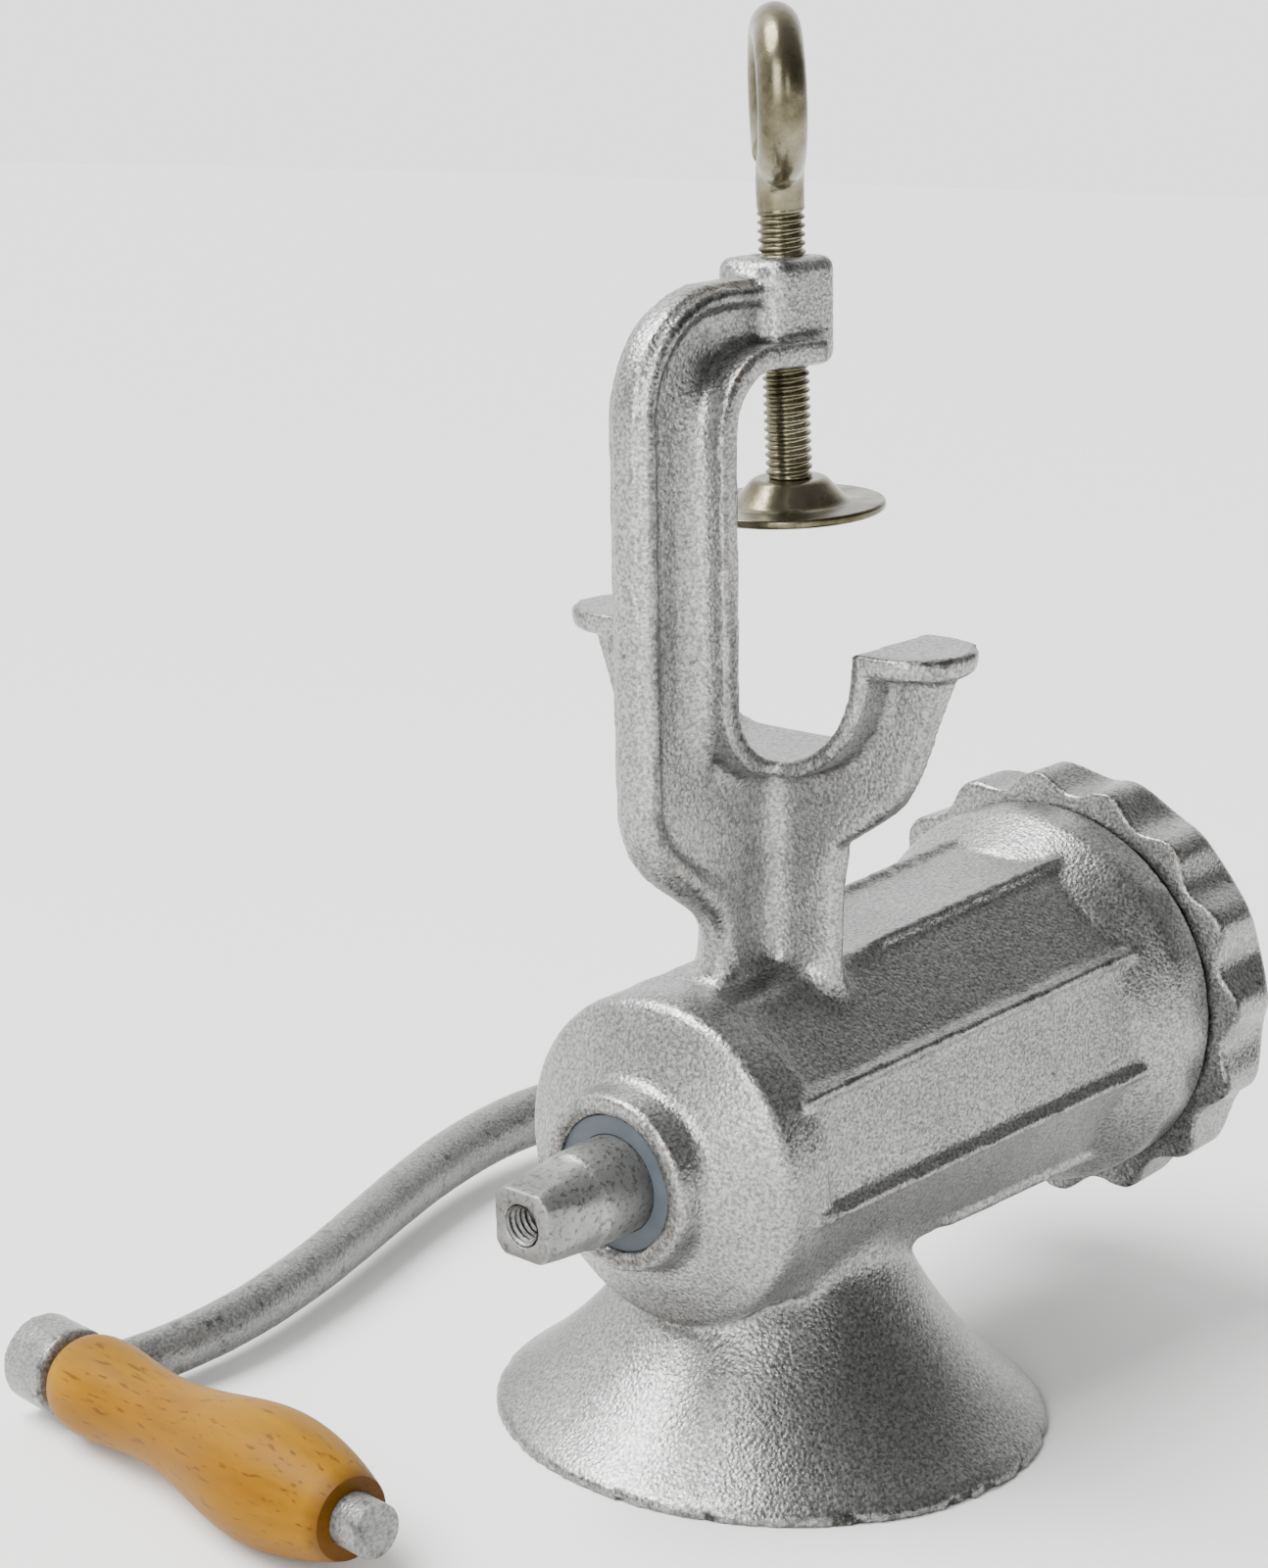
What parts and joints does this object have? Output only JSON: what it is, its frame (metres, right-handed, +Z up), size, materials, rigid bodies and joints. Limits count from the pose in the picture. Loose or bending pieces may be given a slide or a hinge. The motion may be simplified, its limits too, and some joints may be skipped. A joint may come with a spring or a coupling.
{
  "type": "hand crank meat grinder",
  "caption": "Hand-cranked meat grinder with a flared hopper, many-sided barrel, scalloped ring nut and table clamp, stood on its hopper with the crank lying loose beside it.",
  "frame": {"origin": "centre of the hopper mouth, in the plane of its rim, on the surface the grinder stands on upside down", "axes": "+Z up, out of the hopper mouth towards the clamp eye; +X in plan along the barrel from the crank end to the ring nut; +Y towards the side on which the loose crank lies"},
  "size_m": [0.2445, 0.189, 0.2583],
  "materials": {
    "tinned_casting": "hot-tinned casting, coarse bright grain",
    "shaft_iron": "grey, pitted",
    "crank_iron": "grey casting with dark specks",
    "steel": "bright turned steel",
    "zinc_steel": "yellowish zinc plating",
    "bush_plastic": "smooth blue-grey plastic",
    "varnished_wood": "honey-coloured varnish"
  },
  "bodies": {
    "housing": {"body_casting": "tinned_casting", "rear_bush": "bush_plastic", "plate_pin": "steel"},
    "feed": {"feed_screw": "shaft_iron", "thrust_washer": "bush_plastic", "knife_stud": "steel", "cross_knife": "steel"},
    "plate": {"cutting_plate": "steel"},
    "ring": {"ring_nut": "tinned_casting"},
    "disc": {"clamp_disc": "zinc_steel"},
    "screw": {"clamp_screw": "zinc_steel"},
    "crank": {"crank_arm": "crank_iron", "grip_spindle": "steel"},
    "grip": {"wood_grip": "varnished_wood"},
    "thumb": {"thumb_screw": "zinc_steel"}
  },
  "joints": [
    {"name": "feed_screw_turn", "type": "hinge", "parent": "housing", "child": "feed", "pos_m": [0, 0, 0.0594], "axis": [0.9976, 0, 0.0698], "continuous": true},
    {"name": "ring_travel", "type": "slide", "parent": "housing", "child": "plate", "axis": [0.9976, 0, 0.0698], "range_m": [0, 0.012]},
    {"name": "ring_turn", "type": "hinge", "parent": "plate", "child": "ring", "pos_m": [0, 0, 0.0594], "axis": [0.9976, 0, 0.0698], "range_deg": [-0.5, 1440.5]},
    {"name": "clamp_travel", "type": "slide", "parent": "housing", "child": "disc", "axis": [-0.1132, 0, 0.9936], "range_m": [-0.009, 0.016]},
    {"name": "clamp_screw_turn", "type": "hinge", "parent": "disc", "child": "screw", "pos_m": [-0.0076, 0, 0.19821], "axis": [-0.1132, 0, 0.9936], "range_deg": [-2160.5, 3840.5]},
    {"name": "crank_lift", "type": "slide", "parent": "housing", "child": "crank", "axis": [0, 0, 1], "range_m": [0, 0.12]},
    {"name": "grip_turn", "type": "hinge", "parent": "crank", "child": "grip", "pos_m": [-0.0987, 0.086, 0.01022], "axis": [-0.091, -0.9955, 0.0262], "continuous": true},
    {"name": "thumb_screw_turn", "type": "hinge", "parent": "crank", "child": "thumb", "pos_m": [0.11537, 0.12122, 0.01229], "axis": [0.091, 0.9955, -0.0262], "continuous": true}
  ],
  "couplings": [
    {"joint": "ring_turn", "follows": "ring_travel", "rad_per_m": 2094.4},
    {"joint": "clamp_screw_turn", "follows": "clamp_travel", "rad_per_m": 4188.8}
  ]
}
